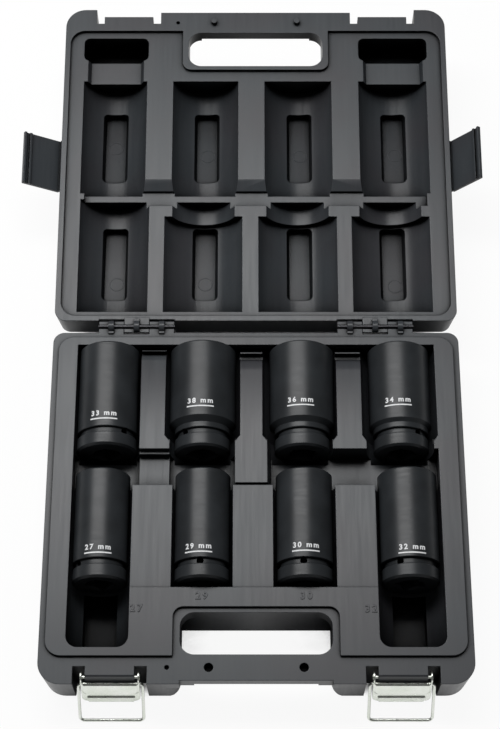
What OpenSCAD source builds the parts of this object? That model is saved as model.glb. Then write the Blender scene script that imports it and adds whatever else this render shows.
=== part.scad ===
// Deep impact socket set in a blow-moulded carry case, shown with the lid laid open.
// Millimetres. Origin at the centre of the base's underside, +X right, +Y to the hinge, +Z up.

/* [Case] */
// Width of the case at the rim
case_w = 330; // [318:1:400]
// Height of the base, from the underside to the rim
base_h = 46; // [39:0.5:58]
// Height of the lid, from its rim to its outer face
lid_h = 36; // [33:0.5:48]
// Corner radius of the rim on the handle side
front_r = 17; // [8:1:22]
// Corner radius of the rim on the hinge side
rear_r = 9; // [6:1:14]
// How far each wall leans in between rim and bottom edge
draft = 2.4; // [0.5:0.1:4]
// Rounding of the bottom edges
edge_r = 6; // [3:0.5:9]
// Width of the flat rim around the tray
rim_w = 5; // [3:0.5:7]
// Height of the tray's tongue above the rim
tongue_h = 2.5; // [1:0.5:4]
// Clearance of the tongue in the lid's groove
tongue_gap = 0.5; // [0.3:0.1:1]
// Gap between the two rims when the case is shut
parting_gap = 0.2; // [0.1:0.05:0.5]
// Angle that the lid opens through
lid_open = 175.5; // [90:0.5:178]

/* [Tray layout] */
// Land between the hinge side rim edge and the first row of pockets
rear_land = 12; // [10:0.5:18]
// Land between the side rim edges and the outer pockets
side_land = 20.5; // [16:0.5:28]
// Play at each end of a socket in its pocket
end_play = 4; // [2:0.5:8]
// Length of the first row's drive ends that stands clear over the finger valley
drive_overhang = 4; // [0:0.5:8]
// Length of the second row's nut ends that stands clear over the finger valley
nut_overhang = 7.5; // [0:0.5:10]
// Width of the finger valley between the two rows
valley_w = 30; // [24:0.5:40]
// Depth of the finger valley
valley_depth = 18; // [10:0.5:22]
// Land between the second row of pockets and the grip
front_land = 15.5; // [10:0.5:24]
// Drop of the second row's lands below the tray
land_drop = 1; // [0:0.5:2]
// Width of the cross trench behind the first row's lands
trench_w = 10.5; // [6:0.5:14]
// Depth of the cross trench
trench_depth = 4; // [2:0.5:8]
// Depth of a socket's axis below the rim
axis_drop = 5.5; // [2:0.5:10]
// Gap left under a socket that lies in its cradle
seat_gap = 0.3; // [0.2:0.1:0.5]

/* [Sockets] */
// Length of a socket
socket_len = 90; // [70:1:110]
// Body diameters of the first row, left to right
row1_od = [48.5, 53, 52, 49.5]; // [44:0.5:56]
// Body diameters of the second row, left to right
row2_od = [43, 43.5, 44.5, 46.5]; // [40:0.5:50]
// Width across flats of the first row
row1_af = [33, 38, 36, 34]; // [24:1:41]
// Width across flats of the second row
row2_af = [27, 29, 30, 32]; // [24:1:36]
// Drive flange diameters of the first row
row1_flange = [48.5, 44.5, 44.5, 44]; // [40:0.5:50]
// Drive flange diameters of the second row
row2_flange = [42.5, 43, 43.5, 45]; // [40:0.5:46]
// Turn of each first row socket about its axis, pin hole from the top
row1_turn = [41, -42, 100, 40]; // [-180:1:180]
// Turn of each second row socket about its axis
row2_turn = [125, -3, -4, -26]; // [-180:1:180]
// Side play of each first row socket in its pocket
row1_play = [3.5, 7, 7.5, 8.5]; // [2:0.5:12]
// Side play of each second row socket in its pocket
row2_play = [4.5, 4, 4.5, 4.5]; // [2:0.5:8]
// Width of the square drive
drive_sq = 19.05; // [12.7:0.05:25.4]
// Depth of the square drive
drive_depth = 25; // [18:0.5:30]
// Length of the drive flange
flange_len = 11; // [8:0.5:14]
// Width of the groove for the retaining ring
groove_w = 4.5; // [3:0.5:7]
// Depth of the groove for the retaining ring
groove_depth = 2.3; // [1:0.1:4]
// Diameter of the hole for the retaining pin
pin_hole_d = 5.5; // [3:0.5:6.5]
// Length of the neck between groove and shoulder
neck_len = 4.5; // [2:0.5:10]
// Depth of the hexagon
hex_depth = 34; // [20:1:50]
// Clearance on the hexagon's width across flats
hex_gap = 0.4; // [0.1:0.1:0.8]

/* [Grip] */
// Width of the rim between the front land and the grip opening
ring_w = 4; // [3:0.5:8]
// Depth of the grip opening, front to back
grip_gap = 33; // [28:0.5:40]
// Depth of the handle bar, front to back
bar_w = 20.2; // [16:0.2:26]
// Thickness of the handle bar in each half
bar_t = 13; // [10:0.5:16]
// Corner radius of the grip opening
grip_r = 11; // [6:0.5:15]
// Width of the lobe between the grip and a latch
lobe_w = 24.5; // [18:0.5:30]
// Corner radius of the lobes beside the grip
lobe_r = 16; // [4:1:20]
// Radius of the handle bar's outer edges
bar_edge_r = 4; // [1:0.5:5]
// How far the lobes stand out in front of the handle bar
lobe_out = 2.8; // [1:0.2:5]
// Distance of the alignment pins from the centre line
align_x = 36; // [20:1:45]
// Diameter of the alignment pins
align_pin_d = 5; // [3:0.5:7]
// Diameter of the holes that take the alignment pins
align_hole_d = 7; // [5.5:0.5:9]
// Height of the alignment pins
align_pin_h = 4; // [2:0.5:6]

/* [Hinges] */
// Distance of each hinge's centre from the centre line
hinge_x = 97.5; // [80:0.5:120]
// Length of one hinge knuckle
knuckle_len = 20.2; // [12:0.2:26]
// Outer radius of a knuckle
knuckle_r = 4.8; // [3.8:0.1:5.2]
// Radius of the hinge pins
hinge_pin_r = 1.8; // [1:0.1:2.4]
// Distance of the hinge axis behind the rim edge
hinge_out = 5.5; // [5:0.1:8]
// Radial clearance of every pin and wire in its bore
run_gap = 0.05; // [0.02:0.01:0.1]

/* [Latches] */
// Distance of each latch's centre from the side rim edge
latch_side = 54.5; // [50:0.5:70]
// Width of the recess that a latch lies in
recess_w = 56; // [54:0.5:64]
// Depth of the recess, measured from the handle bar's front
recess_depth = 11; // [9:0.5:13]
// Half length of the moulded bar that carries the pivot pin
anchor_half = 18.6; // [15:0.1:20]
// Thickness of the moulded bar, top to bottom
anchor_t = 8.5; // [8:0.5:12]
// Radius of the pivot pin
pivot_r = 1.1; // [0.8:0.1:1.2]
// Half width of the lever over its two cheeks
lever_half = 22.2; // [21:0.1:23]
// Thickness of the lever's sheet metal
sheet_t = 1; // [0.8:0.1:1.4]
// Length of the lever's plate
plate_len = 24.5; // [20:0.5:28]
// Swing of the resting lever out from the shut one
lever_swing = 16; // [0:1:40]
// Radius of the bail wire
bail_r = 1.2; // [1:0.05:1.5]
// Bend radius of the bail's corners
bail_bend = 3.5; // [2.5:0.5:6]
// Length of the bail from its pivot to its cross wire
bail_len = 36.9; // [30:0.1:38]
// Width of the catch on the lid
catch_w = 42.4; // [36:0.2:44]

/* [Side clips] */
// Length of a clip along the case
clip_w = 47; // [30:1:60]
// Length of a clip from hinge to tip
clip_len = 36; // [28:0.5:40]
// Thickness of a clip
clip_t = 2.4; // [1.6:0.2:3.2]
// Radius of a clip's root bead
bead_r = 2.5; // [1.5:0.1:3]
// Swing of the left clip out from the shut one
clip_swing_left = 58; // [0:1:120]
// Swing of the right clip out from the shut one
clip_swing_right = 38.5; // [0:0.5:120]

/* [Lid pockets] */
// Width that a lid pocket has over the pocket below it
lid_pocket_over = 8.5; // [6:0.5:10]
// Depth of the lid pockets from the lid's rim
trough_depth = 24.5; // [22.5:0.5:27]
// Depth of the saddles over the necked drive ends
saddle_depth = 20; // [18:0.5:24]
// Width of the long recess in each pocket's floor
rib_w = 21.5; // [14:0.5:26]
// Length of the long recess
rib_len = 63; // [40:1:70]
// Depth of the long recess
rib_depth = 5; // [3:0.5:7]
// Depth of the lid's cross trench
lid_trench = 8; // [5:0.5:10]

/* [Hidden] */
$fn = 48;
socket_names = ["socket_33", "socket_38", "socket_36", "socket_34",
                "socket_27", "socket_29", "socket_30", "socket_32"];

black = [0.17, 0.17, 0.18];
phosphate = [0.22, 0.23, 0.24];
zinc = [0.78, 0.8, 0.76];
steel = [0.6, 0.6, 0.62];
far = 400;
tiny = 0.01;

// Distances from the hinge side rim edge towards the handle
row1_d = rear_land + end_play;
land1_end = row1_d + socket_len - drive_overhang;
pocket1_end = row1_d + socket_len + end_play;
land2_d = land1_end + valley_w;
row2_d = land2_d - nut_overhang;
pocket2_d = row2_d - end_play;
pocket2_end = row2_d + socket_len + end_play;
ring_d = pocket2_end + front_land;
grip_d = ring_d + ring_w;
grip_end = grip_d + grip_gap;
case_d = grip_end + bar_w;
lobe_d = case_d + lobe_out;
step_d = case_d - 18.6;
recess_d = case_d - recess_depth;
anchor_d = case_d - 1.8;
function y_at(d) = case_d / 2 - d;

// Heights
tray_z = base_h + tongue_h;
axis_z = base_h - axis_drop;
bar_z = base_h - bar_t;
lid_rim_z = base_h + parting_gap;
lid_face_z = tray_z + tongue_gap;

// Across the case
inner_half = case_w / 2 - side_land;
latch_x = case_w / 2 - latch_side;
grip_half = latch_x - recess_w / 2 - lobe_w;
ring_half = grip_half + 5.5;

row1_w = row1_od + row1_play;
row2_w = row2_od + row2_play;
function total(v, n) = n == 0 ? 0 : v[n - 1] + total(v, n - 1);
function land_w(w) = (2 * inner_half - total(w, 4)) / 3;
function column_x(w, i) = -inner_half + total(w, i) + i * land_w(w) + w[i] / 2;
neck_play = 7.5;
necked = [for (i = [0:3]) row1_flange[i] < row1_od[i]];

// Hinge axis
hinge_y = case_d / 2 + hinge_out;
hinge_z = base_h;

// Latch points: w is measured forwards from the case's centre, so w is minus Y
pivot_w = case_d / 2 - 4.4;
pivot_z = base_h - 5.7;
cheek_r = 4.4;
ear_out = 0.6;
ear_drop = 8.5;
ear_r = 3;
plate_w = 3.7;
plate_z = -3.45;
bail_x = lever_half + bail_r + 1;
shut_w = pivot_w + ear_out;
shut_z = pivot_z - ear_drop;
rest_w = pivot_w + ear_out * cos(lever_swing) + ear_drop * sin(lever_swing);
rest_z = pivot_z + ear_out * sin(lever_swing) - ear_drop * cos(lever_swing);
bail_rest = asin((rest_z - bail_r) / bail_len);
hook_w = -y_at(recess_d) + bail_r + 0.9;
hook_z = shut_z + sqrt(pow(bail_len, 2) - pow(shut_w - hook_w, 2));
catch_z = hook_z - bail_r - seat_gap;
catch_w_out = case_d / 2 - 3.7;

// Clip hinge line, in the shut case
clip_x = case_w / 2 - 1.2;
clip_z = lid_rim_z + bead_r + 2.2;
clip_d = case_d / 2 - 2;
clip_face = 1.6;
clip_rib_tip = 0.2;
clip_ribs = [-clip_len, 5 - clip_len];

// ---- shared shapes ----

module rounded(w, d0, d1, r) {
    // rectangle between two distances from the rear edge, all corners rounded
    for (s = [-1, 1]) translate([s * (w / 2 - r), y_at(d1 - r)]) circle(r);
    for (s = [-1, 1]) translate([s * (w / 2 - r), y_at(d0 + r)]) circle(r);
    translate([-w / 2, y_at(d1 - r)]) square([w, d1 - d0 - 2 * r]);
    translate([r - w / 2, y_at(d1)]) square([w - 2 * r, d1 - d0]);
}

module rim_outline(inset) {
    w = case_w / 2 - inset;
    hull() {
        for (s = [-1, 1]) translate([s * (w - front_r), y_at(lobe_d - inset - front_r)])
            circle(front_r, $fn = 40);
        for (s = [-1, 1]) translate([s * (w - rear_r), y_at(inset + rear_r)])
            circle(rear_r, $fn = 32);
    }
}

// Solid half of the case: rim at z = 0, closing towards z = h, walls leaning in
module half_body(h) {
    lean = draft * 0.9;
    hull() {
        linear_extrude(tiny) rim_outline(0);
        translate([0, 0, 4]) linear_extrude(tiny) rim_outline(0.3);
        translate([0, 0, h - edge_r]) linear_extrude(tiny) rim_outline(lean);
        translate([0, 0, h - edge_r * 0.4]) linear_extrude(tiny) rim_outline(lean + edge_r * 0.35);
        translate([0, 0, h - tiny]) linear_extrude(tiny) rim_outline(lean + edge_r);
    }
}

// Profile drawn forwards (x) and up (y), extruded across the case
module across(width) {
    rotate([90, 0, -90]) linear_extrude(width, center = true) children();
}

// Round-bottomed pocket that opens upwards: floor at z = 0
module cradle(x, w, d0, d1, top) {
    translate([x, y_at(d1), w / 2]) rotate([-90, 0, 0]) cylinder(r = w / 2, h = d1 - d0, $fn = 64);
    translate([x - w / 2, y_at(d1), w / 2]) cube([w, d1 - d0, top]);
}

// Corner to cut away so that a radius is left: the corner lies at the origin, the solid in +x +y
module corner_off(r, h) {
    difference() {
        translate([-1, -1, 0]) cube([r + 1, r + 1, h]);
        translate([r, r, -1]) cylinder(r = r, h = h + 2);
    }
}

// Room for the fingers below z = 0, with the lobes' inner corners and the bar's edges rounded
module grip_space() {
    translate([-grip_half, y_at(lobe_d + 5), -far])
        cube([2 * grip_half, lobe_d + 5 - grip_d, far]);
    for (m = [0, 1]) mirror([m, 0, 0]) translate([grip_half, y_at(lobe_d), -far])
        corner_off(lobe_r, far);
    bar = 2 * (grip_half - grip_r);
    translate([-bar / 2, y_at(case_d), 0]) rotate([90, 0, 90]) corner_off(bar_edge_r, bar);
    translate([-bar / 2, y_at(grip_end), 0]) mirror([0, 1, 0]) rotate([90, 0, 90])
        corner_off(bar_edge_r, bar);
}

// Tray outline inside the rim, notched around the grip ring
module tray_outline(gap) {
    offset(r = -8 - gap, $fn = 32) offset(r = 8, $fn = 32)
    difference() {
        rounded(case_w - 2 * rim_w, rim_w, step_d, front_r - rim_w);
        translate([-ring_half, y_at(case_d)]) square([2 * ring_half, case_d - ring_d]);
    }
}

// ---- base tray ----

module base_pockets() {
    for (i = [0:3]) {
        floor_z = axis_z - row1_od[i] / 2 - seat_gap;
        x = column_x(row1_w, i);
        neck_d = land1_end - 10;
        wide_end = necked[i] ? neck_d : pocket1_end;
        translate([0, 0, floor_z]) cradle(x, row1_w[i], rear_land, wide_end, far);
        if (necked[i]) {
            neck_w = row1_flange[i] + neck_play;
            neck_z = axis_z - row1_flange[i] / 2 - 1.5;
            translate([0, 0, neck_z]) cradle(x, neck_w, neck_d - 1, pocket1_end, far);
            translate([0, 0, axis_z]) linear_extrude(far) polygon([
                [x - row1_w[i] / 2, y_at(neck_d - tiny)], [x + row1_w[i] / 2, y_at(neck_d - tiny)],
                [x + neck_w / 2, y_at(neck_d + 5)], [x - neck_w / 2, y_at(neck_d + 5)]]);
        }
    }
    for (i = [0:3]) {
        floor_z = axis_z - row2_od[i] / 2 - seat_gap;
        translate([0, 0, floor_z]) cradle(column_x(row2_w, i), row2_w[i], pocket2_d, pocket2_end, far);
    }
}

// The outer columns run on past the sockets as open corner bins with a deep slot
corner_end = grip_end - 5;
slot_w = 26;
module corner_bin(i) {
    x = column_x(row2_w, i);
    floor_z = axis_z - row2_od[i] / 2 - seat_gap;
    intersection() {
        translate([0, 0, floor_z]) cradle(x, row2_w[i], pocket2_end - 20, corner_end, far);
        translate([x, 0, 0]) linear_extrude(far) rounded(row2_w[i], pocket2_end - 30, corner_end, 9);
    }
    translate([x - slot_w / 2, y_at(corner_end - 1), base_h * 0.15])
        cube([slot_w, corner_end - 1 - pocket2_end + 2, far]);
}

module latch_recess(x) {
    translate([x - recess_w / 2, y_at(lobe_d + 5), -1])
        cube([recess_w, lobe_d + 5 - recess_d, far]);
}

module anchor_bar(x) {
    back = -y_at(recess_d) - 1;
    front = -y_at(anchor_d);
    translate([x, 0, 0]) difference() {
        across(2 * anchor_half) polygon([
            [back, base_h], [front - 2.4, base_h], [front - 1.4, base_h - 0.8],
            [front, base_h - anchor_t + 1], [front - 0.8, base_h - anchor_t], [back, base_h - anchor_t]]);
        translate([-far / 2, -pivot_w, pivot_z]) rotate([0, 90, 0])
            cylinder(r = pivot_r + run_gap, h = far);
    }
}

// One knuckle seen along X: a cradle under the pin and a narrow loop around it
module knuckle() {
    bore = hinge_pin_r + run_gap;
    loop = 4.4;
    module ring(r, len) translate([-len / 2, 0, 0]) rotate([0, 90, 0]) cylinder(r = r, h = len);
    difference() {
        union() {
            difference() {
                union() {
                    ring(knuckle_r, knuckle_len);
                    translate([-knuckle_len / 2, -hinge_out - 3, -2 * knuckle_r])
                        cube([knuckle_len, hinge_out + 3 + hinge_pin_r * 0.6, 2 * knuckle_r]);
                }
                translate([-knuckle_len, -far / 2, -tiny]) cube([2 * knuckle_len, far, far]);
                translate([-knuckle_len, hinge_pin_r, -2.4 * knuckle_r])
                    rotate([36, 0, 0]) translate([0, 0, -far]) cube([2 * knuckle_len, far, far]);
            }
            ring(knuckle_r, loop);
            translate([-loop / 2, -hinge_out - 1, -knuckle_r]) cube([loop, hinge_out + 1, knuckle_r + 1.5]);
        }
        ring(bore, 2 * knuckle_len);
    }
}

module hinge_places() {
    for (s = [-1, 1]) translate([s * hinge_x, hinge_y, hinge_z]) children();
}

// Ridge on the side wall that snaps in between a shut clip's two ribs
module clip_ridge() {
    tip = clip_face - 0.5;
    translate([clip_x, y_at(clip_d), clip_z + clip_ribs[0] + 3.5]) rotate([90, 0, 0])
        linear_extrude(clip_w - 8, center = true)
        polygon([[-4, -1.9], [tip, -0.8], [tip, 0.8], [-4, 1.9]]);
}

module base_tray() {
    color(black) difference() {
        union() {
            difference() {
                union() {
                    translate([0, 0, base_h]) mirror([0, 0, 1]) half_body(base_h);
                    translate([0, 0, base_h - 1]) linear_extrude(tongue_h + 1) tray_outline(0);
                }
                for (s = [-1, 1]) latch_recess(s * latch_x);
                // handle bar: its front face, the opening behind it and the space below it
                translate([-grip_half, y_at(lobe_d + 5), -1]) cube([2 * grip_half, 5 + lobe_out, far]);
                translate([0, 0, -1]) linear_extrude(far) rounded(2 * grip_half, grip_d, grip_end, grip_r);
                translate([0, 0, bar_z]) grip_space();
                // room for the lid's knuckles
                hinge_places() translate([-knuckle_len / 2 - 0.4, -hinge_out - 1.2, -knuckle_r - 0.8])
                    cube([knuckle_len + 0.8, hinge_out + 2, far]);
            }
            for (s = [-1, 1]) anchor_bar(s * latch_x);
            hinge_places() for (s = [-1, 1]) translate([s * (knuckle_len + 0.4), 0, 0]) knuckle();
            for (m = [0, 1]) mirror([m, 0, 0]) clip_ridge();
        }
        base_pockets();
        for (i = [0, 3]) corner_bin(i);
        // finger valley, second row lands, trench behind the first row's lands
        translate([-inner_half, y_at(land2_d), tray_z - valley_depth])
            cube([2 * inner_half, valley_w, far]);
        translate([-inner_half, y_at(pocket2_end), tray_z - land_drop])
            cube([2 * inner_half, pocket2_end - land2_d + 1, far]);
        translate([column_x(row1_w, 0), y_at(rear_land + trench_w), tray_z - trench_depth])
            cube([column_x(row1_w, 3) - column_x(row1_w, 0), trench_w, far]);
        for (s = [-1, 1]) translate([s * align_x, y_at(case_d - bar_w / 2), base_h - align_pin_h - 2])
            cylinder(r = align_hole_d / 2, h = far);
        translate([-ring_half - 4, y_at(case_d - bar_w / 2), base_h - 3]) cylinder(r = 1.8, h = far);
    }
}

// ---- lid ----

module laid_open() {
    translate([0, hinge_y, hinge_z]) rotate([-lid_open, 0, 0]) translate([0, -hinge_y, -hinge_z])
        children();
}

// Pocket in the lid: opens downwards, deepest point at the given depth from the rim
module lid_cradle(x, w, d0, d1, depth) {
    translate([0, 0, lid_rim_z + depth]) mirror([0, 0, 1]) cradle(x, w, d0, d1, far);
}

module lid_pockets() {
    for (i = [0:3]) {
        x = column_x(row1_w, i);
        w = row1_w[i] + lid_pocket_over;
        saddle_d = pocket1_end - 10;
        lid_cradle(x, w, rear_land - 3, necked[i] ? saddle_d : pocket1_end, trough_depth);
        if (necked[i])
            lid_cradle(x, row1_flange[i] + 5, saddle_d - 1, pocket1_end, saddle_depth);
        rib_recess(x, (rear_land - 3 + pocket1_end) / 2);
    }
    for (i = [0:3]) {
        x = column_x(row2_w, i);
        lid_cradle(x, row2_w[i] + lid_pocket_over, pocket2_d - 1.5, pocket2_end + 3, trough_depth);
        rib_recess(x, (pocket2_d + pocket2_end) / 2);
    }
}

module rib_recess(x, d) {
    translate([x, 0, lid_rim_z + trough_depth - 6]) linear_extrude(6 + rib_depth)
        rounded(rib_w, d - rib_len / 2, d + rib_len / 2, 4);
}

module lid_corner_slot(i) {
    x = column_x(row2_w, i);
    w = row2_w[i] + lid_pocket_over;
    slot_d = grip_d + 2;
    translate([x, 0, lid_rim_z - 1]) linear_extrude(lid_h - 5) rounded(w, slot_d, corner_end + 1, 5);
    // block that slopes from the slot to the pocket
    translate([x, 0, 0]) across(w - 6) polygon([
        [-y_at(pocket2_end + 2), lid_rim_z - 1], [-y_at(slot_d + 1), lid_rim_z - 1],
        [-y_at(slot_d + 1), lid_rim_z + 14], [-y_at(pocket2_end + 2), lid_rim_z + 7]]);
}

module lid_catch(x) {
    back = -y_at(recess_d) - 1;
    translate([x, 0, 0]) across(catch_w) polygon([
        [back, lid_rim_z], [catch_w_out - 0.6, lid_rim_z], [catch_w_out, lid_rim_z + 2],
        [catch_w_out, catch_z + 1.6], [catch_w_out - 1.3, catch_z + 2.2],
        [hook_w + bail_r + 0.5, catch_z], [back, catch_z]]);
}

module lid_shell() {
    color(black) laid_open() difference() {
        union() {
            difference() {
                translate([0, 0, lid_rim_z]) half_body(lid_h);
                for (s = [-1, 1]) latch_recess(s * latch_x);
                translate([-grip_half, y_at(lobe_d + 5), -1]) cube([2 * grip_half, 5 + lobe_out, far]);
                translate([0, 0, -1]) linear_extrude(far) rounded(2 * grip_half, grip_d, grip_end, grip_r);
                translate([0, 0, lid_rim_z + bar_t]) mirror([0, 0, 1]) grip_space();
                // groove that takes the tray's tongue
                translate([0, 0, -1]) linear_extrude(lid_face_z + 1) tray_outline(-tongue_gap);
                // room for the base's knuckles
                hinge_places() for (s = [-1, 1])
                    translate([s * (knuckle_len + 0.4) - knuckle_len / 2 - 0.4, -hinge_out - 1.2, -1])
                        cube([knuckle_len + 0.8, hinge_out + 2, knuckle_r + 1.8]);
            }
            for (s = [-1, 1]) lid_catch(s * latch_x);
            for (s = [-1, 1]) translate([s * align_x, y_at(case_d - bar_w / 2), lid_rim_z - align_pin_h])
                cylinder(r = align_pin_d / 2, h = align_pin_h + 1);
            hinge_places() mirror([0, 0, 1]) knuckle();
        }
        lid_pockets();
        for (i = [0, 3]) lid_corner_slot(i);
        // cross trench over the finger valley
        across(2 * inner_half) polygon([
            [-y_at(land1_end + 2), lid_rim_z - 1], [-y_at(land1_end + 2), lid_face_z + lid_trench],
            [-y_at(land2_d - 10), lid_face_z + lid_trench], [-y_at(land2_d - 1), lid_face_z],
            [-y_at(land2_d - 1), lid_rim_z - 1]]);
        // channels for the side clips' root beads
        for (s = [-1, 1]) translate([s * clip_x, y_at(clip_d + clip_w / 2 + 0.3), clip_z])
            rotate([-90, 0, 0]) cylinder(r = bead_r + 0.3, h = clip_w + 0.6);
        translate([-ring_half - 4, y_at(case_d - bar_w / 2), -1]) cylinder(r = 1.6, h = lid_rim_z + 4);
    }
}

// ---- sockets ----

// Half section from the drive end (y = 0) to the nut end
module socket_section(od, flange) {
    b = od / 2;
    f = flange / 2;
    g = f - groove_depth;
    neck0 = flange_len + groove_w;
    neck1 = neck0 + neck_len;
    stepped = flange < od - 2;
    polygon(concat(
        [[0, 0], [f - 2, 0], [f, 1.6], [f, flange_len - 0.6], [f - 0.6, flange_len], [g, flange_len],
         [g, neck0], [f - 0.5, neck0]],
        stepped ? [[f, neck0 + 0.5], [f, neck1], [b, neck1 + (b - f)]] : [[b, neck0 + 0.5]],
        [[b, socket_len - 1.2], [b - 1.2, socket_len], [0, socket_len]]));
}

module deep_socket(od, flange, af, turn) {
    hex_r = (af + hex_gap) / 2 / cos(30);
    bore_r = min(af / 2 - 1.5, 14);
    color(phosphate) rotate([0, turn, 0]) rotate([-90, 0, 0]) difference() {
        rotate_extrude($fn = 96) socket_section(od, flange);
        translate([0, 0, socket_len - hex_depth]) cylinder(r = hex_r, h = far, $fn = 6);
        translate([0, 0, socket_len - 1.5]) cylinder(r1 = hex_r - 1, r2 = hex_r + 1.2, h = 2.2);
        translate([0, 0, drive_depth - 2])
            cylinder(r = bore_r, h = socket_len - drive_depth - hex_depth + 3);
        translate([-drive_sq / 2, -drive_sq / 2, -1]) cube([drive_sq, drive_sq, drive_depth + 1]);
        translate([0, 0, -1]) cylinder(r1 = drive_sq * 0.62 + 1, r2 = drive_sq * 0.5, h = 3);
        translate([0, -od, flange_len + groove_w / 2]) rotate([-90, 0, 0])
            cylinder(r = pin_hole_d / 2, h = 2 * od);
    }
}

module placed_socket(k) {
    i = k % 4;
    first = k < 4;
    x = first ? column_x(row1_w, i) : column_x(row2_w, i);
    d = first ? row1_d : row2_d;
    translate([x, y_at(d + socket_len), axis_z])
        deep_socket(first ? row1_od[i] : row2_od[i], first ? row1_flange[i] : row2_flange[i],
                    first ? row1_af[i] : row2_af[i], first ? row1_turn[i] : row2_turn[i]);
}

// ---- hinge pins ----

module hinge_pin(s) {
    len = 3 * knuckle_len + 1.6;
    color(steel) translate([s * hinge_x - len / 2, hinge_y, hinge_z]) rotate([0, 90, 0])
        cylinder(r = hinge_pin_r, h = len);
}

// ---- latches ----

// Pin through the moulded bar and both cheeks of the lever, with a riveted head at each end
module latch_pin(s) {
    color(zinc) translate([s * latch_x, -pivot_w, pivot_z]) rotate([0, 90, 0]) {
        cylinder(r = pivot_r, h = 2 * lever_half + 0.4, center = true);
        for (m = [0, 1]) mirror([0, 0, m]) translate([0, 0, lever_half + run_gap]) {
            cylinder(r = pivot_r + 0.8, h = 0.35);
            translate([0, 0, 0.35]) cylinder(r1 = pivot_r + 0.8, r2 = pivot_r, h = 0.25);
        }
    }
}

// Plate outline seen from the front: square above, rounded corners below
module plate_outline(half, top, bottom, r) {
    translate([-half, bottom + r]) square([2 * half, top - bottom - r]);
    translate([r - half, bottom]) square([2 * (half - r), r + 1]);
    for (m = [-1, 1]) translate([m * (half - r), bottom + r]) circle(r);
}

// Lever hanging shut, its pivot at the origin: pressed plate with a cheek bent back at each side
module lever_shut() {
    bottom = plate_z - plate_len;
    panel_end = plate_z - 0.6 * plate_len;
    rib_z = plate_z - 0.78 * plate_len;
    rib_half = lever_half - 5;
    difference() {
        union() {
            translate([0, -plate_w, 0]) rotate([90, 0, 0]) translate([0, 0, -sheet_t])
                linear_extrude(sheet_t) plate_outline(lever_half, plate_z, bottom, 5);
            // raised panel, rib and finger lip
            translate([0, -plate_w, 0]) rotate([90, 0, 0]) hull() {
                linear_extrude(tiny) plate_outline(lever_half - 0.5, plate_z, panel_end, 4, $fn = 24);
                linear_extrude(1.2)
                    plate_outline(lever_half - 2.2, plate_z - 1.5, panel_end + 1.8, 3, $fn = 24);
            }
            translate([0, -plate_w, rib_z]) rotate([0, 90, 0])
                cylinder(r = 1.2, h = 2 * rib_half, center = true, $fn = 24);
            for (m = [-1, 1]) translate([m * rib_half, -plate_w, rib_z]) sphere(1.2, $fn = 24);
            across(2 * (lever_half - 5)) polygon([
                [plate_w - sheet_t, bottom + 3], [plate_w, bottom + 3], [plate_w + 0.9, bottom],
                [plate_w - 0.1, bottom]]);
            for (m = [-1, 1]) translate([m * (lever_half - sheet_t / 2), 0, 0]) across(sheet_t) {
                circle(cheek_r);
                translate([ear_out, -ear_drop]) circle(ear_r);
                polygon([[-cheek_r, 0], [ear_out - ear_r, -ear_drop], [plate_w - sheet_t, rib_z],
                         [plate_w, rib_z], [plate_w, plate_z], [cheek_r, 0]]);
            }
        }
        translate([-far / 2, 0, 0]) rotate([0, 90, 0]) cylinder(r = pivot_r + run_gap, h = far);
        translate([-far / 2, -ear_out, -ear_drop]) rotate([0, 90, 0])
            cylinder(r = bail_r + run_gap, h = far);
    }
}

module latch_lever(s) {
    color(zinc) translate([s * latch_x, -pivot_w, pivot_z]) rotate([-lever_swing, 0, 0]) lever_shut();
}

// Bail: a cross wire, two legs, and two tails that turn into the ears at y = 0
module bail_flat() {
    turn = bail_x - lever_half + 0.4;
    module along_x(x0, x1, y) translate([x0, y, 0]) rotate([0, 90, 0]) cylinder(r = bail_r, h = x1 - x0);
    module elbow(radius, from) rotate([0, 0, from])
        rotate_extrude(angle = 90) translate([radius, 0]) circle(bail_r, $fn = 24);
    along_x(bail_bend - bail_x, bail_x - bail_bend, -bail_len);
    for (m = [0, 1]) mirror([m, 0, 0]) {
        translate([bail_x - bail_bend, bail_bend - bail_len, 0]) elbow(bail_bend, -90);
        translate([bail_x, bail_bend - bail_len, 0]) rotate([-90, 0, 0])
            cylinder(r = bail_r, h = bail_len - bail_bend - turn);
        translate([bail_x - turn, -turn, 0]) elbow(turn, 0);
        along_x(lever_half - sheet_t - 0.6, bail_x - turn, 0);
    }
}

module latch_bail(s) {
    color(zinc) translate([s * latch_x, -rest_w, rest_z]) rotate([bail_rest, 0, 0]) bail_flat();
}

// ---- side clips ----

// Clip of the right side, shut, its hinge line along Y at the origin
module clip_shut() {
    module along_y() rotate([90, 0, 0]) linear_extrude(clip_w, center = true) children();
    along_y() circle(bead_r);
    along_y() polygon([[0, 0], [bead_r - 0.3, -1.2], [clip_face + clip_t, -1.8],
        [clip_face + clip_t, 1 - clip_len], [clip_face + clip_t - 1, -clip_len],
        [clip_face, -clip_len], [clip_face, -bead_r], [0.6, 0.3 - bead_r]]);
    for (v = clip_ribs) along_y() translate([clip_rib_tip, v]) square([clip_face - clip_rib_tip + 1, 2]);
}

module side_clip(s, swing) {
    color(black) laid_open() translate([s * clip_x, y_at(clip_d), clip_z])
        mirror([s < 0 ? 1 : 0, 0, 0]) rotate([0, -swing, 0]) clip_shut();
}

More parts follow.
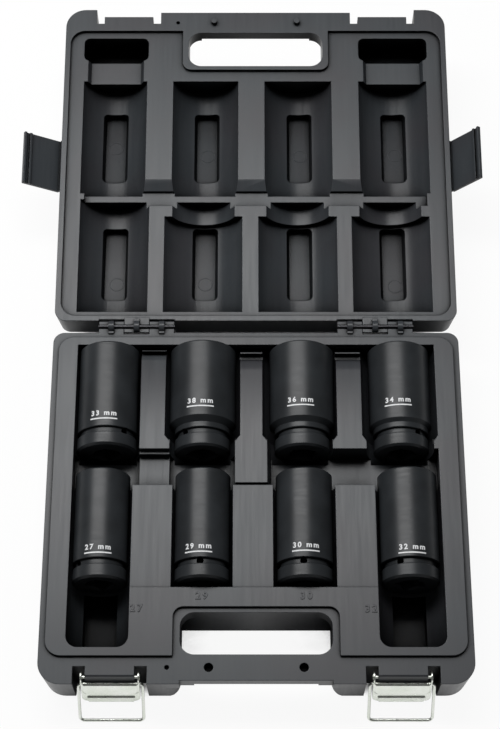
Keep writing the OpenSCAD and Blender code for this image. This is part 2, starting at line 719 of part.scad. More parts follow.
base_tray();
lid_shell();
placed_socket(0);  // socket_33
placed_socket(1);  // socket_38
placed_socket(2);  // socket_36
placed_socket(3);  // socket_34
placed_socket(4);  // socket_27
placed_socket(5);  // socket_29
placed_socket(6);  // socket_30
placed_socket(7);  // socket_32
hinge_pin(-1);  // hinge_pin_left
hinge_pin(1);  // hinge_pin_right
latch_pin(-1);  // latch_pin_left
latch_pin(1);  // latch_pin_right
latch_lever(-1);  // latch_lever_left
latch_lever(1);  // latch_lever_right
latch_bail(-1);  // latch_bail_left
latch_bail(1);  // latch_bail_right
side_clip(-1, clip_swing_left);  // side_clip_left
side_clip(1, clip_swing_right);  // side_clip_right
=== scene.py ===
import math

import bmesh
import bpy
from mathutils import Matrix, Vector


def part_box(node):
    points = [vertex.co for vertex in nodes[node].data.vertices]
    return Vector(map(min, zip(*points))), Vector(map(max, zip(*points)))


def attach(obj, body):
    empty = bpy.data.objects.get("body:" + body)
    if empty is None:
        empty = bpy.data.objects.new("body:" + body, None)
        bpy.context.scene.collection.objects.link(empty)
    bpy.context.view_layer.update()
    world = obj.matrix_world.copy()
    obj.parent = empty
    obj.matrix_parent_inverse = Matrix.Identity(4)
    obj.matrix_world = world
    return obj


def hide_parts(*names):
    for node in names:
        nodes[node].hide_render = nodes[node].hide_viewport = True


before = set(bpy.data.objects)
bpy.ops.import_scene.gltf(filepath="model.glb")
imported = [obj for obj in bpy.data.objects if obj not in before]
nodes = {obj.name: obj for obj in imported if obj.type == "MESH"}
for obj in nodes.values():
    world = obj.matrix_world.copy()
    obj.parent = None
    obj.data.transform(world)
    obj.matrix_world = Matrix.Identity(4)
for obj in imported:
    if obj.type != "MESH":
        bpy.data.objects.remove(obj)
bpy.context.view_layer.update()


# ---- Viewpoint ----
# The open case is seen from in front of its handle and well above it,
# from about a metre and a half away, with a long lens.

MM = 0.001
eye = Vector((-4.8, -536.0, 1415.0)) * MM
look = Vector((0.0, 0.4305, -0.9026)).normalized()
lens_mm = 92.44

up = Vector((0.0, look.y, look.z)).cross(Vector((-1.0, 0.0, 0.0))).normalized()
right = look.cross(up).normalized()
camera_data = bpy.data.cameras.new("viewpoint")
camera_data.lens = lens_mm
camera_data.sensor_width = 36.0
camera = bpy.data.objects.new("viewpoint", camera_data)
bpy.context.scene.collection.objects.link(camera)
camera.matrix_world = Matrix((
    (right.x, up.x, -look.x, eye.x),
    (right.y, up.y, -look.y, eye.y),
    (right.z, up.z, -look.z, eye.z),
    (0.0, 0.0, 0.0, 1.0)))
bpy.context.scene.camera = camera
bpy.context.scene.view_settings.view_transform = "Standard"


# ---- Floor and light ----
# A flat white floor, lit by an even sky and by one long soft box above and behind the
# case, set towards its left. The floor shows as plain white but for its shadows.

def add_node(tree, kind, **inputs):
    """Adds a shader node; keywords are input names, with a value or a socket to link."""
    node = tree.nodes.new(kind)
    for name, value in inputs.items():
        socket = node.inputs[name.replace("_", " ")]
        if isinstance(value, bpy.types.NodeSocket):
            tree.links.new(value, socket)
        else:
            socket.default_value = value
    return node


floor_reach = 3.0
gap_reach = 60.0 * MM
floor_mesh = bpy.data.meshes.new("floor")
plane = bmesh.new()
bmesh.ops.create_grid(plane, x_segments=1, y_segments=1, size=floor_reach)
plane.to_mesh(floor_mesh)
plane.free()
floor = bpy.data.objects.new("floor", floor_mesh)
bpy.context.scene.collection.objects.link(floor)
floor_paint = bpy.data.materials.new("white_floor")
floor_paint.use_nodes = True
tree = floor_paint.node_tree
tree.nodes.clear()
path = add_node(tree, "ShaderNodeLightPath")
matt = add_node(tree, "ShaderNodeBsdfDiffuse", Color=(0.9, 0.9, 0.9, 1.0))
glow = add_node(tree, "ShaderNodeEmission", Color=(1.0, 1.0, 1.0, 1.0), Strength=1.0)
gaps = add_node(tree, "ShaderNodeAmbientOcclusion", Distance=gap_reach)
# the narrow gaps under and between the halves stay dark, in view and in reflections
shares = []
for ray, narrow, wide in (("Is Camera Ray", 0.14, 0.23), ("Is Glossy Ray", 0.35, 0.75)):
    open_share = add_node(tree, "ShaderNodeMapRange", Value=gaps.outputs["AO"])
    for name, number in (("From Min", narrow), ("From Max", wide), ("To Min", 0.0), ("To Max", 0.93)):
        open_share.inputs[name].default_value = number
    share = add_node(tree, "ShaderNodeMath")
    share.operation = "MULTIPLY"
    tree.links.new(open_share.outputs[0], share.inputs[0])
    tree.links.new(path.outputs[ray], share.inputs[1])
    shares.append(share.outputs[0])
seen = add_node(tree, "ShaderNodeMath")
seen.operation = "MAXIMUM"
for value, socket in zip(shares, seen.inputs):
    tree.links.new(value, socket)
blend = add_node(tree, "ShaderNodeMixShader")
tree.links.new(seen.outputs[0], blend.inputs[0])
tree.links.new(matt.outputs[0], blend.inputs[1])
tree.links.new(glow.outputs[0], blend.inputs[2])
out = add_node(tree, "ShaderNodeOutputMaterial")
tree.links.new(blend.outputs[0], out.inputs["Surface"])
floor_mesh.materials.append(floor_paint)

sky_light = 0.12
world = bpy.data.worlds.new("even_sky")
bpy.context.scene.world = world
world.use_nodes = True
sky = world.node_tree
sky.nodes.clear()
path = add_node(sky, "ShaderNodeLightPath")
strength = add_node(sky, "ShaderNodeMapRange")
strength.inputs["To Min"].default_value = sky_light
strength.inputs["To Max"].default_value = 1.0
sky.links.new(path.outputs["Is Camera Ray"], strength.inputs["Value"])
dome = add_node(sky, "ShaderNodeBackground", Color=(1.0, 1.0, 1.0, 1.0), Strength=strength.outputs[0])
out = add_node(sky, "ShaderNodeOutputWorld")
sky.links.new(dome.outputs[0], out.inputs["Surface"])


def soft_box(name, place, target, width, depth, watts):
    """Adds a rectangular lamp at place, facing target."""
    data = bpy.data.lights.new(name, "AREA")
    data.shape = "RECTANGLE"
    data.size = width
    data.size_y = depth
    data.energy = watts
    lamp = bpy.data.objects.new(name, data)
    bpy.context.scene.collection.objects.link(lamp)
    back = (Vector(place) - Vector(target)).normalized()
    across = Vector((0.0, 1.0, 0.0)).cross(back).normalized()
    along = back.cross(across)
    lamp.matrix_world = Matrix((
        (across.x, along.x, back.x, place[0]),
        (across.y, along.y, back.y, place[1]),
        (across.z, along.z, back.z, place[2]),
        (0.0, 0.0, 0.0, 1.0)))


case_middle = (0.0, 0.15, 0.03)
box_place = (-0.43, 0.76, 1.7)
soft_box("long_soft_box", box_place, case_middle, width=1.75, depth=0.54, watts=36.0)


# ---- Case halves and side clips ----
# The two halves are blow-moulded black polyethylene, and the clips are moulded of the
# same. The mould leaves a satin skin with fine streaks along the draw and soft edges.


def noise(tree, place, scale, detail, stretch=(1.0, 1.0, 1.0), swirl=0.0):
    """Noise over the object's own coordinates, stretched along an axis."""
    mapping = add_node(tree, "ShaderNodeMapping", Vector=place)
    mapping.inputs["Scale"].default_value = stretch
    texture = add_node(tree, "ShaderNodeTexNoise", Vector=mapping.outputs[0], Scale=scale, Detail=detail,
                       Distortion=swirl)
    return texture.outputs["Fac"]


def span(tree, value, low, high, to_low, to_high):
    """Maps a value from one range to another, clamped."""
    node = add_node(tree, "ShaderNodeMapRange", Value=value)
    for name, number in (("From Min", low), ("From Max", high), ("To Min", to_low), ("To Max", to_high)):
        node.inputs[name].default_value = number
    return node.outputs[0]


def maths(tree, operation, first, second):
    """One arithmetic step on two values or sockets."""
    node = tree.nodes.new("ShaderNodeMath")
    node.operation = operation
    for socket, value in zip(node.inputs, (first, second)):
        if isinstance(value, bpy.types.NodeSocket):
            tree.links.new(value, socket)
        else:
            socket.default_value = value
    return node.outputs[0]


def mix_colour(tree, share, first, second):
    """Mixes two colours by a share."""
    node = tree.nodes.new("ShaderNodeMix")
    node.data_type = "RGBA"
    for name, value in (("Factor", share), ("A", first), ("B", second)):
        socket = next(s for s in node.inputs if s.name == name and s.enabled)
        if isinstance(value, bpy.types.NodeSocket):
            tree.links.new(value, socket)
        else:
            socket.default_value = value
    return next(s for s in node.outputs if s.enabled)


def new_material(name):
    """An empty material with its node tree, shader and object coordinates."""
    material = bpy.data.materials.new(name)
    material.use_nodes = True
    tree = material.node_tree
    shader = tree.nodes["Principled BSDF"]
    place = add_node(tree, "ShaderNodeTexCoord").outputs["Object"]
    return material, tree, shader, place


def edge_share(tree, rounded, sharpness):
    """How far a rounded normal turns from the flat one: 0 on a face, up to 1 along an edge."""
    flat = add_node(tree, "ShaderNodeNewGeometry").outputs["Normal"]
    dot = tree.nodes.new("ShaderNodeVectorMath")
    dot.operation = "DOT_PRODUCT"
    tree.links.new(rounded, dot.inputs[0])
    tree.links.new(flat, dot.inputs[1])
    return span(tree, dot.outputs["Value"], 1.0, 1.0 - sharpness, 0.0, 1.0)


def moulded_plastic(name):
    """Satin black polyethylene with draw streaks, soft edges, and shade painted into its hollows."""
    cool_skin, pale_skin = (0.036, 0.041, 0.046, 1.0), (0.043, 0.048, 0.053, 1.0)
    warm_skin, rubbed_edge_and_highlight = (0.040, 0.037, 0.041, 1.0), (0.10, 0.104, 0.108, 1.0)
    # this near black is painted shade for the hollows
    painted_hollow_shade = (0.001, 0.001, 0.001, 1.0)
    material, tree, shader, place = new_material(name)
    rounded = add_node(tree, "ShaderNodeBevel", Radius=0.7 * MM)
    rounded.samples = 6
    streaks = noise(tree, place, 420.0, 3.0, (1.0, 0.05, 0.12))
    broad = noise(tree, place, 60.0, 3.0, (1.0, 0.12, 0.3), 0.6)
    grain = noise(tree, place, 1500.0, 2.0)
    clouds = noise(tree, place, 14.0, 2.0)
    # painted shade: ambient occlusion from each part's own shape says how deep a spot lies in a hollow or
    # nook
    hollow = add_node(tree, "ShaderNodeAmbientOcclusion", Distance=50.0 * MM)
    nook = add_node(tree, "ShaderNodeAmbientOcclusion", Distance=14.0 * MM)
    for shade in (hollow, nook):
        shade.samples = 6
        shade.only_local = True
    depth = maths(tree, "MULTIPLY", span(tree, hollow.outputs["AO"], 0.42, 0.85, 0.0, 1.0),
                  span(tree, nook.outputs["AO"], 0.4, 0.95, 0.35, 1.0))

    tone = maths(tree, "ADD", maths(tree, "MULTIPLY", streaks, 0.5), maths(tree, "MULTIPLY", broad, 0.5))
    tone = span(tree, tone, 0.35, 0.65, 0.0, 1.0)
    skin = mix_colour(tree, tone, cool_skin, pale_skin)
    warm = mix_colour(tree, span(tree, clouds, 0.42, 0.62, 0.0, 0.5), skin, warm_skin)
    # the edges are lightened, partly as rubbing wear and partly as a painted highlight along them
    edge = edge_share(tree, rounded.outputs["Normal"], 0.35)
    worn = mix_colour(tree, maths(tree, "MULTIPLY", edge, 0.35), warm, rubbed_edge_and_highlight)
    # painted shade: the colour goes to near black where the hollows are deep
    shaded = mix_colour(tree, depth, painted_hollow_shade, worn)
    tree.links.new(shaded, shader.inputs["Base Color"])
    tree.links.new(span(tree, streaks, 0.3, 0.7, 0.29, 0.35), shader.inputs["Roughness"])
    shader.inputs["IOR"].default_value = 1.5
    # painted shade: the gloss is turned down in the hollows too
    tree.links.new(span(tree, depth, 0.02, 1.0, 0.01, 0.25), shader.inputs["Specular IOR Level"])

    height = maths(tree, "ADD", maths(tree, "MULTIPLY", streaks, 0.7), maths(tree, "MULTIPLY", grain, 0.3))
    bump = add_node(tree, "ShaderNodeBump", Strength=0.09, Distance=0.08 * MM, Height=height,
                    Normal=rounded.outputs["Normal"])
    tree.links.new(bump.outputs[0], shader.inputs["Normal"])
    return material


def paint(names, material):
    """Gives CAD nodes a material in place of their plain one."""
    for name in names:
        for slot in nodes[name].material_slots:
            slot.material = material


case_plastic = moulded_plastic("case_plastic")
paint(["side_clip_left", "side_clip_right"], case_plastic)


# ---- Inner faces of the case halves ----
# The inner skin of each half is moulded in one piece with its outer walls, to fit the
# sockets: the tray has beds with narrow necks, a finger valley with a bridge and a ledge,
# and split trenches, and the lid has pockets with saddles over the sockets' collars.

# sizes are in millimetres with the case shut, and distances run from the rear edge
half_depth = 145.6
hinge_at = Vector((0.0, 151.1, 46.0))
lid_laid_open = 175.5  # degrees
inner_half = 144.5
tray_top = 48.5
socket_axis = 40.5
lid_face = 49.0
first_row = (-118.5, -42.67, 36.92, 115.5)
second_row = (-120.75, -41.92, 37.67, 119.0)


def prism(points, axis, low, high, far_points=None):
    """A closed prism along an axis; its far end may have an outline of its own."""
    along = "XYZ".index(axis)

    def spot(pair, height):
        place = list(pair)
        place.insert(along, height)
        return Vector(place) * MM

    shape = bmesh.new()
    near = shape.faces.new([shape.verts.new(spot(pair, low)) for pair in points])
    made = bmesh.ops.extrude_face_region(shape, geom=[near])["geom"]
    far = next(part for part in made if isinstance(part, bmesh.types.BMFace))
    for corner, pair in zip(far.verts, far_points or points):
        corner.co = spot(pair, high)
    bmesh.ops.recalc_face_normals(shape, faces=shape.faces[:])
    return shape


def block(x0, x1, d0, d1, z0, z1):
    """A block between two distances from the rear edge."""
    y0, y1 = half_depth - d1, half_depth - d0
    return prism([(x0, y0), (x1, y0), (x1, y1), (x0, y1)], "Z", z0, z1)


def bed(x, width, d0, d1, deepest, mouth):
    """A round-bottomed pocket from its deepest line to its mouth, above or below it."""
    r = width / 2
    way = 1 if mouth > deepest else -1
    arc = [math.pi * (1 + k / 32) for k in range(33)]
    outline = [(x + r * math.cos(a), deepest + way * r * (1 + math.sin(a))) for a in arc]
    outline += [(x + r, mouth), (x - r, mouth)]
    return prism(outline, "Y", half_depth - d1, half_depth - d0)


def soft_outline(x, width, d0, d1, r):
    """A rectangle between two distances from the rear edge, its corners rounded."""
    y0, y1 = half_depth - d1, half_depth - d0
    corners = ((x + width / 2 - r, y0 + r, -90), (x + width / 2 - r, y1 - r, 0),
               (x - width / 2 + r, y1 - r, 90), (x - width / 2 + r, y0 + r, 180))
    turns = [math.radians(15 * k) for k in range(7)]
    return [(cx + r * math.cos(math.radians(start) + turn), cy + r * math.sin(math.radians(start) + turn))
            for cx, cy, start in corners for turn in turns]


def reshape(name, body, steps, place=Matrix()):
    """Adds to a case half and cuts from it; the piece made so stands for the node."""
    source = nodes[name].data
    mesh = bpy.data.meshes.new(name + "_moulded")
    mesh.from_pydata([v.co for v in source.vertices], [], [list(f.vertices) for f in source.polygons])
    welded = bmesh.new()
    welded.from_mesh(mesh)
    bmesh.ops.remove_doubles(welded, verts=welded.verts[:], dist=0.002 * MM)
    welded.to_mesh(mesh)
    welded.free()
    piece = bpy.data.objects.new(name + "_moulded", mesh)
    bpy.context.scene.collection.objects.link(piece)
    tools = []
    for operation, shape in steps:
        shape.transform(place)
        tool_mesh = bpy.data.meshes.new("tool")
        shape.to_mesh(tool_mesh)
        shape.free()
        tool = bpy.data.objects.new("tool", tool_mesh)
        bpy.context.scene.collection.objects.link(tool)
        tools.append(tool)
        modifier = piece.modifiers.new("step", "BOOLEAN")
        modifier.solver = "MANIFOLD"
        modifier.operation = operation
        modifier.object = tool
    bpy.context.view_layer.update()
    seen_from = bpy.context.evaluated_depsgraph_get()
    result = bpy.data.meshes.new_from_object(piece.evaluated_get(seen_from), depsgraph=seen_from)
    piece.modifiers.clear()
    piece.data = result
    for tool in tools:
        bpy.data.objects.remove(tool)
    result.shade_smooth()
    result.set_sharp_from_angle(angle=math.radians(24))
    result.materials.clear()
    result.materials.append(case_plastic)
    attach(piece, body)
    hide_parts(name)


# the tray is filled up to its face, and then cut
first_width = (52.0, 60.0, 59.5, 60.0)
first_middle = (-118.5, -42.67, 34.92, 114.5)
first_floor = (15.95, 13.7, 14.2, 15.45)
body_width = (None, None, 54.0, 56.5)
neck_width = (52.0, 52.0, 52.0, 53.5)
neck_floor = (None, 16.75, 16.75, 17.0)
neck_taper = 5.0
second_width = (47.5, 47.5, 49.0, 51.0)
second_floor = (18.7, 18.45, 17.95, 16.95)
rear_land, neck_start, land_end, first_end = 12.0, 92.0, 103.5, 110.0
second_start, second_land = 120.5, 134.0
tray_half, tray_rear, tray_bottom = 147.0, 11.0, 8.0
above_tray = tray_top + 9.0
valley_depth = 19.0
bridge_lean, bridge_rear, bridge_front = 3.0, 102.5, 132.4
step_rear, step_front, step_drop = 131.4, 134.5, 4.0
shallow_drop, ledge_drop, ledge_front = 10.5, 4.5, 106.5
trench_width = (7.5, 12.0, 12.0)
trench_profile = (  # shares of the width from the rear land, and heights over the face
    (0, 1), (0, -4.5), (0.07, -4.5), (0.07, -9.5), (0.32, -9.5), (0.37, -5), (0.47, -5), (0.52, -9.5),
    (0.78, -9.5), (0.94, -5.5), (1.02, -4), (1.2, -2.2), (1.45, -0.9), (1.9, 0), (1.9, 1))

tray_steps = [("UNION", block(-tray_half, tray_half, tray_rear, second_land, tray_bottom, tray_top))]
valley_floor = tray_top - valley_depth
back, front = half_depth - land_end, half_depth - second_land
tray_steps.append(("DIFFERENCE", prism([
    (back, tray_top + 1), (back, tray_top - 0.5), (back - 2, valley_floor), (front + 1, valley_floor),
    (front, tray_top - 1), (front, tray_top + 1)], "X", -inner_half, inner_half)))
bridge_left = first_middle[1] + neck_width[1] / 2
bridge_right = first_middle[2] - neck_width[2] / 2
bridge_foot = bridge_right + bridge_lean
tray_steps.append(("UNION", prism([
    (bridge_left, tray_bottom), (bridge_left, tray_top), (bridge_right, tray_top),
    (bridge_foot, valley_floor - 1), (bridge_foot, tray_bottom)],
    "Y", half_depth - bridge_front, half_depth - bridge_rear)))
tray_steps.append(("UNION", prism([
    (bridge_left, tray_bottom), (bridge_left, tray_top - step_drop), (bridge_right + 1, tray_top - step_drop),
    (bridge_foot, tray_bottom)], "Y", half_depth - step_front, half_depth - step_rear)))
shallow_left = first_middle[0] + neck_width[0] / 2
shallow_right = first_middle[1] - neck_width[1] / 2
for end, drop in ((step_front, shallow_drop), (ledge_front, ledge_drop)):
    tray_steps.append(("UNION", block(
        shallow_left, shallow_right, bridge_rear, end, tray_bottom, tray_top - drop)))
for i in range(4):
    necked = neck_floor[i] is not None
    x, w = first_middle[i], first_width[i]
    tray_steps.append(("DIFFERENCE", bed(
        x, w, rear_land, neck_start if necked else first_end, first_floor[i], above_tray)))
    if body_width[i]:
        under_axis = first_floor[i] + body_width[i] / 2 + 1
        tray_steps.append(("DIFFERENCE", bed(
            first_row[i], body_width[i], rear_land, neck_start, first_floor[i], under_axis)))
    if necked:
        n = neck_width[i]
        shoulder = half_depth - neck_start
        tray_steps.append(("DIFFERENCE", bed(x, n, neck_start - 1, first_end, neck_floor[i], above_tray)))
        tray_steps.append(("DIFFERENCE", prism([
            (x - w / 2, shoulder + 0.01), (x - n / 2, shoulder - neck_taper),
            (x + n / 2, shoulder - neck_taper), (x + w / 2, shoulder + 0.01)], "Z", socket_axis, above_tray)))
    tray_steps.append(("DIFFERENCE", bed(
        second_row[i], second_width[i], second_start, second_land + 1, second_floor[i], above_tray)))
for i, w in enumerate(trench_width):
    rear = half_depth - rear_land
    outline = [(rear - share * w, tray_top + height) for share, height in trench_profile]
    tray_steps.append(("DIFFERENCE", prism(outline, "X", first_row[i], first_row[i + 1])))
reshape("base_tray", "base", tray_steps)

# the lid is filled down to its face, and then cut from below
first_pockets = ((-118.5, 60.5), (-43.87, 70.9), (35.12, 71.6), (113.15, 71.2))
second_pockets = ((-120.75, 56.0), (-42.92, 58.0), (36.47, 59.9), (118.0, 61.5))
saddle_width = (None, 57.0, 57.0, 56.5)
saddle_length = 16.0
pocket_floor, saddle_floor, recess_floor = 70.7, 66.2, 75.3
pocket_rear, first_pocket_end, second_pocket_start, second_pocket_end = 9.0, 111.65, 117.25, 224.5
under_lid, under_rim = 40.0, 45.2
lid_half, lid_rear, lid_field_end, lid_fill_top = 150.0, 8.6, 232.0, 78.5
arm_inside, arm_end = 70.0, 268.5
recess_width, recess_foot, recess_reach, recess_corner, recess_fall = 21.5, 17.1, 33.0, 4.0, 0.06
first_recess, second_recess = 60.825, 170.375
slot_widths = ((second_row[0], 56.0), (second_row[3], 59.5))
slot_rear, slot_front, slot_corner, slot_floor = 245.0, 267.0, 5.0, 76.2
channel_rear, channel_front, channel_floor, channel_lean = 223.5, 251.0, 54.2, 4.5
cross_trench = (  # distances from the rear edge, and heights
    (105.65, under_rim), (105.65, 55.2), (120.2, 55.2), (121.0, 52.8), (130.45, lid_face),
    (130.45, under_rim))
flush_half, flush_front = 110.5, 291.2

lid_steps = [("UNION", block(-lid_half, lid_half, lid_rear, lid_field_end, lid_face, lid_fill_top))]
for x0, x1 in ((-lid_half, -arm_inside), (arm_inside, lid_half)):
    lid_steps.append(("UNION", block(x0, x1, lid_field_end - 1, arm_end, lid_face, lid_fill_top)))
for (x, w), saddle in zip(first_pockets, saddle_width):
    end = first_pocket_end - saddle_length if saddle else first_pocket_end
    lid_steps.append(("DIFFERENCE", bed(x, w, pocket_rear, end, pocket_floor, under_lid)))
    if saddle:
        lid_steps.append(("DIFFERENCE", bed(x, saddle, end - 1, first_pocket_end, saddle_floor, under_lid)))
for x, w in second_pockets:
    lid_steps.append(("DIFFERENCE", bed(
        x, w, second_pocket_start, second_pocket_end, pocket_floor, under_lid)))
for row, middle in ((first_row, first_recess), (second_row, second_recess)):
    for x in row:
        rim, foot = (soft_outline(x, width, middle - recess_reach, middle + recess_reach, recess_corner)
                     for width in (recess_width, recess_foot))
        recess = prism(rim, "Z", pocket_floor - 0.5, recess_floor, foot)
        for v in recess.verts:
            if v.co.z > (recess_floor - 0.1) * MM:
                v.co.z += recess_fall * ((half_depth - middle) * MM - v.co.y)
        lid_steps.append(("DIFFERENCE", recess))
        lid_steps.append(("DIFFERENCE", prism(rim, "Z", pocket_floor - 6, pocket_floor - 0.49)))
for x, w in slot_widths:
    lid_steps.append(("DIFFERENCE", prism(
        soft_outline(x, w, slot_rear, slot_front, slot_corner), "Z", under_rim, slot_floor)))
    left, right = x - w / 2 + 2, x + w / 2 - 2
    lid_steps.append(("DIFFERENCE", prism([
        (left, under_rim), (left + channel_lean, channel_floor), (right - channel_lean, channel_floor),
        (right, under_rim)], "Y", half_depth - channel_front, half_depth - channel_rear)))
lid_steps.append(("DIFFERENCE", prism(
    [(half_depth - d, z) for d, z in cross_trench], "X", -inner_half, inner_half)))
lid_steps.append(("DIFFERENCE", block(-flush_half, flush_half, flush_front, 300.0, 45.0, 90.0)))
opened = (Matrix.Translation(hinge_at * MM) @ Matrix.Rotation(math.radians(-lid_laid_open), 4, "X")
          @ Matrix.Translation(-hinge_at * MM))
reshape("lid_shell", "lid", lid_steps, opened)


# ---- Weld marks in the lid ----
# Where the inner skin is pinched to the outer one, a round core pin leaves a low ring
# on the floor of the recess. The rings belong to the lid's own skin.

weld_places = ((-120.7, 172.8), (-41.1, 165.1), (38.4, 165.1), (120.4, 166.1),
               (-116.8, 44.2), (-42.3, 44.2), (117.2, 42.4))
first_level, second_level = 60.8, 170.4  # where the sloping floors are at their given height
ring_section = ((5.5, 0, 0.2), (5.7, 0, -0.25), (6.0, 0, -0.25), (6.2, 0, 0.2))
weld_marks = bmesh.new()
for x, d in weld_places:
    corners = [weld_marks.verts.new(Vector(corner) * MM) for corner in ring_section]
    outline = weld_marks.faces.new(corners)
    earlier = set(weld_marks.verts) - set(corners)
    bmesh.ops.spin(weld_marks, geom=[outline] + outline.edges[:] + corners, cent=(0, 0, 0), axis=(0, 0, 1),
                   angle=2 * math.pi, steps=40, use_merge=True, use_duplicate=False)
    ring = [v for v in weld_marks.verts if v not in earlier]
    level = second_level if d > first_pocket_end else first_level
    floor_z = recess_floor + recess_fall * (d - level)
    bmesh.ops.transform(weld_marks, verts=ring, matrix=Matrix.Translation(
        Vector((x, half_depth - d, floor_z)) * MM) @ Matrix.Rotation(-math.atan(recess_fall), 4, "X"))
weld_marks.transform(opened)
bmesh.ops.recalc_face_normals(weld_marks, faces=weld_marks.faces[:])
mesh = bpy.data.meshes.new("weld_marks")
weld_marks.to_mesh(mesh)
weld_marks.free()
mesh.materials.append(case_plastic)
piece = bpy.data.objects.new("weld_marks", mesh)
bpy.context.scene.collection.objects.link(piece)
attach(piece, "lid")


# ---- Sockets ----
# Deep impact sockets are forged from chrome molybdenum steel, turned, and then
# phosphated to a matt black that shines softly along the body.

socket_names = [name for name in nodes if name.startswith("socket_")]


def phosphated_steel(name):
    """Matt black phosphate over turned steel, with shade painted into its bores and crevices."""
    dark_coat, pale_coat = (0.017, 0.019, 0.021, 1.0), (0.024, 0.027, 0.030, 1.0)
    # the near black is painted shade for the bores and for where the socket lies close in its pocket
    bare_edge, painted_bore_shade = (0.07, 0.07, 0.075, 1.0), (0.001, 0.001, 0.001, 1.0)
    material, tree, shader, place = new_material(name)
    rounded = add_node(tree, "ShaderNodeBevel", Radius=0.5 * MM)
    rounded.samples = 6
    turning = noise(tree, place, 900.0, 3.0, (0.08, 1.0, 0.08))
    crystals = noise(tree, place, 2600.0, 2.0)
    clouds = noise(tree, place, 45.0, 3.0)
    # painted shade: ambient occlusion from the socket and the parts round it darkens the colour to near black
    # and turns the gloss down
    hollow = add_node(tree, "ShaderNodeAmbientOcclusion", Distance=30.0 * MM)
    hollow.samples = 6
    depth = span(tree, hollow.outputs["AO"], 0.2, 0.8, 0.05, 1.0)
    coat = mix_colour(tree, span(tree, clouds, 0.35, 0.65, 0.0, 1.0), dark_coat, pale_coat)
    edge = edge_share(tree, rounded.outputs["Normal"], 0.3)
    worn = mix_colour(tree, maths(tree, "MULTIPLY", edge, 0.4), coat, bare_edge)
    shaded = mix_colour(tree, depth, painted_bore_shade, worn)
    tree.links.new(shaded, shader.inputs["Base Color"])
    tree.links.new(span(tree, turning, 0.3, 0.7, 0.34, 0.42), shader.inputs["Roughness"])
    tree.links.new(span(tree, depth, 0.05, 1.0, 0.02, 0.27), shader.inputs["Specular IOR Level"])
    height = maths(tree, "ADD", maths(tree, "MULTIPLY", turning, 0.4), maths(tree, "MULTIPLY", crystals, 0.6))
    bump = add_node(tree, "ShaderNodeBump", Strength=0.3, Distance=0.05 * MM, Height=height,
                    Normal=rounded.outputs["Normal"])
    tree.links.new(bump.outputs[0], shader.inputs["Normal"])
    return material


paint(socket_names, phosphated_steel("phosphated_steel"))


# ---- Size marks on the sockets ----
# Each socket's size is printed in white across the top of its body, nearer the drive
# end, over a short rule.

def text_mesh(name, words, height, thickness):
    """Letters as a closed mesh, centred, lying in the XY plane."""
    curve = bpy.data.curves.new(name, "FONT")
    curve.body = words
    curve.size = height
    curve.extrude = thickness / 2
    curve.align_x = "CENTER"
    curve.align_y = "CENTER"
    curve.resolution_u = 3
    curve.offset = 0.035 * height
    curve.space_character = 1.35
    letters = bpy.data.objects.new(name + "_letters", curve)
    bpy.context.scene.collection.objects.link(letters)
    bpy.context.view_layer.update()
    mesh = bpy.data.meshes.new_from_object(letters)
    bpy.data.objects.remove(letters)
    return mesh


def wrap_round(shape, axis_x, axis_z, radius, step):
    """Bends a flat shape (x across, y along) round a cylinder that lies along Y."""
    reach = max(abs(v.co.x) for v in shape.verts)
    cuts = int(reach / step)
    for k in range(-cuts, cuts + 1):
        everything = shape.verts[:] + shape.edges[:] + shape.faces[:]
        bmesh.ops.bisect_plane(shape, geom=everything, plane_co=(k * step, 0, 0), plane_no=(1, 0, 0))
    for v in shape.verts:
        angle = v.co.x / radius
        r = radius + v.co.z
        v.co = Vector((axis_x + r * math.sin(angle), v.co.y, axis_z + r * math.cos(angle)))


def printed_ink(name):
    """White pad-print ink, slightly broken by the phosphate below."""
    material, tree, shader, place = new_material(name)
    thin, full = (0.30, 0.31, 0.32, 1.0), (0.78, 0.79, 0.80, 1.0)
    breaks = span(tree, noise(tree, place, 1800.0, 3.0), 0.35, 0.5, 0.55, 1.0)
    tree.links.new(mix_colour(tree, breaks, thin, full), shader.inputs["Base Color"])
    shader.inputs["Roughness"].default_value = 0.6
    return material


ink = printed_ink("white_ink")
ink_thickness = 0.06 * MM
mark_height = 5.9 * MM
mark_rise, rule_drop = 1.6 * MM, 2.9 * MM
rule_size = Vector((22.0, 1.1)) * MM
bend_step = 1.5 * MM
mark_places = {  # millimetres from the drive end, millimetres round from the crown
    "socket_33": (24.7, -1.9), "socket_38": (34.5, -1.6),
    "socket_36": (35.6, -1.8), "socket_34": (36.2, -3.2),
    "socket_27": (22.3, -0.7), "socket_29": (23.0, -2.6),
    "socket_30": (23.6, 0.4), "socket_32": (21.7, 0.3)}

for name in socket_names:
    low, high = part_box(name)
    radius = (high.x - low.x) / 2
    axis_x, axis_z = (low.x + high.x) / 2, (low.z + high.z) / 2
    mark = bmesh.new()
    mark.from_mesh(text_mesh(name, name.split("_")[1] + " mm", mark_height, ink_thickness))
    bmesh.ops.translate(mark, verts=mark.verts[:], vec=(0, mark_rise, 0))
    rule = bmesh.ops.create_cube(mark, size=1.0)["verts"]
    bmesh.ops.scale(mark, verts=rule, vec=(rule_size.x, rule_size.y, ink_thickness))
    bmesh.ops.translate(mark, verts=rule, vec=(0, -rule_drop, 0))
    from_drive, round_crown = mark_places[name]
    bmesh.ops.translate(mark, verts=mark.verts[:], vec=(round_crown * MM, 0, 0))
    wrap_round(mark, axis_x, axis_z, radius, bend_step)
    bmesh.ops.translate(mark, verts=mark.verts[:], vec=(0, low.y + from_drive * MM, 0))
    mesh = bpy.data.meshes.new(name + "_mark")
    mark.to_mesh(mesh)
    mark.free()
    mesh.materials.append(ink)
    piece = bpy.data.objects.new(name + "_mark", mesh)
    bpy.context.scene.collection.objects.link(piece)
    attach(piece, name)


# ---- Size digits in the tray ----
# Raised digits in front of the near row say which socket each bed is for. They are
# part of the tray's moulding.

digit_height, digit_thickness = 8.0 * MM, 0.8 * MM
digit_places = (("27", -91.5, 235.7), ("29", -41.8, 225.7), ("30", 38.3, 225.7), ("32", 87.5, 236.1))

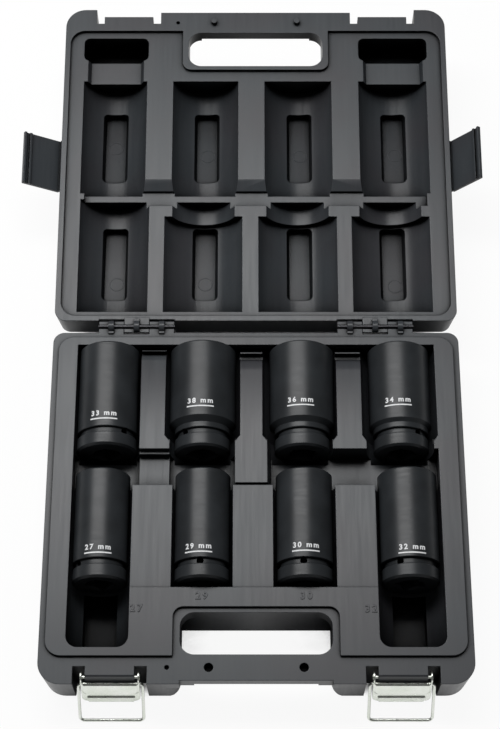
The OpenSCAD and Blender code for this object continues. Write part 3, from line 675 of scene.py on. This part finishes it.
for words, x, d in digit_places:
    mesh = text_mesh("digits_" + words, words, digit_height, digit_thickness)
    mesh.transform(Matrix.Translation(Vector((x, half_depth - d, tray_top)) * MM))
    mesh.materials.append(case_plastic)
    piece = bpy.data.objects.new("digits_" + words, mesh)
    bpy.context.scene.collection.objects.link(piece)
    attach(piece, "base")


# ---- Latches ----
# Each latch is a pressed lever, a wire bail and a riveted pin, all steel with
# bright zinc plate under a faint yellow-green passivation.

def zinc_plate(name):
    """Bright zinc with a faint tint, soft spangle and fine draw marks."""
    greenish, silvery = (0.72, 0.76, 0.68, 1.0), (0.82, 0.84, 0.79, 1.0)
    material, tree, shader, place = new_material(name)
    rounded = add_node(tree, "ShaderNodeBevel", Radius=0.35 * MM)
    rounded.samples = 6
    tint = noise(tree, place, 60.0, 3.0)
    fine = noise(tree, place, 1600.0, 3.0, (0.15, 1.0, 1.0))
    colour = mix_colour(tree, span(tree, tint, 0.35, 0.65, 0.0, 1.0), greenish, silvery)
    tree.links.new(colour, shader.inputs["Base Color"])
    shader.inputs["Metallic"].default_value = 1.0
    tree.links.new(span(tree, fine, 0.3, 0.7, 0.24, 0.36), shader.inputs["Roughness"])
    bump = add_node(tree, "ShaderNodeBump", Strength=0.15, Distance=0.05 * MM, Height=fine,
                    Normal=rounded.outputs["Normal"])
    tree.links.new(bump.outputs[0], shader.inputs["Normal"])
    return material


paint([name for name in nodes if name.startswith("latch_")], zinc_plate("zinc_plate"))


# ---- Hinge pins ----
# Drawn steel rods, blackened against rust. Each is pushed through the moulded knuckles
# of both halves, and the lid's knuckle turns on it.

def drawn_steel(name):
    """Blackened drawn wire with fine lines along its length."""
    black, worn_black = (0.035, 0.035, 0.038, 1.0), (0.06, 0.06, 0.064, 1.0)
    material, tree, shader, place = new_material(name)
    lines = noise(tree, place, 2200.0, 2.0, (0.03, 1.0, 1.0))
    shade = mix_colour(tree, span(tree, lines, 0.3, 0.7, 0.0, 1.0), black, worn_black)
    tree.links.new(shade, shader.inputs["Base Color"])
    shader.inputs["Metallic"].default_value = 1.0
    tree.links.new(span(tree, lines, 0.3, 0.7, 0.25, 0.4), shader.inputs["Roughness"])
    return material


paint(["hinge_pin_left", "hinge_pin_right"], drawn_steel("drawn_steel"))
